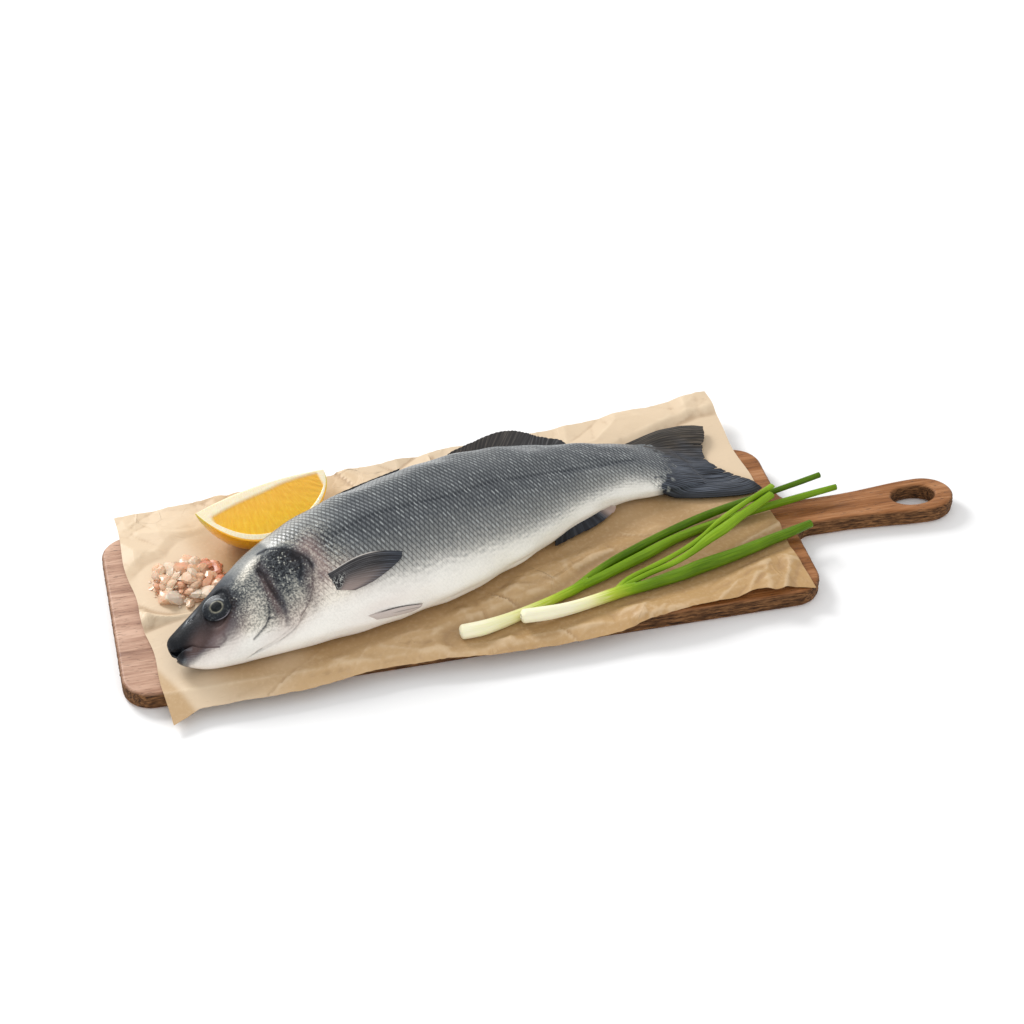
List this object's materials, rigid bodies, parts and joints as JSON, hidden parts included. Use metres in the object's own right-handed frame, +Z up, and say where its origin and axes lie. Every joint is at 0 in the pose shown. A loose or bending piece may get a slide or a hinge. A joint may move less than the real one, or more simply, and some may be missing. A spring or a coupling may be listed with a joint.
{
  "type": "raw sea bass on a serving board",
  "caption": "Whole raw sea bass lying on crumpled brown paper and a wooden serving board with a holed handle, beside a lemon wedge, pink rock salt and spring onions.",
  "frame": {"origin": "centre of the board's rectangular blade on its flat underside", "axes": "+X along the board to its handle, +Y across the board to the fish's back, +Z up"},
  "size_m": [0.5285, 0.2262, 0.0665],
  "materials": {
    "oiled_wood": "open-grained brown wood, oiled, satin",
    "brown_paper": "crumpled, matt",
    "bass_skin": "wet scaled skin, dark blue-grey back, silver-grey flank and white belly",
    "lemon": "moist yellow pulp and waxy rind",
    "pink_salt": "cloudy pale pink crystals",
    "onion": "waxy green leaves fading to white shafts"
  },
  "bodies": {
    "root": {"board": "oiled_wood", "paper": "brown_paper", "sea_bass": "bass_skin", "lemon_wedge": "lemon", "salt_heap": "pink_salt", "spring_onion_1": "onion", "spring_onion_2": "onion"}
  },
  "joints": []
}
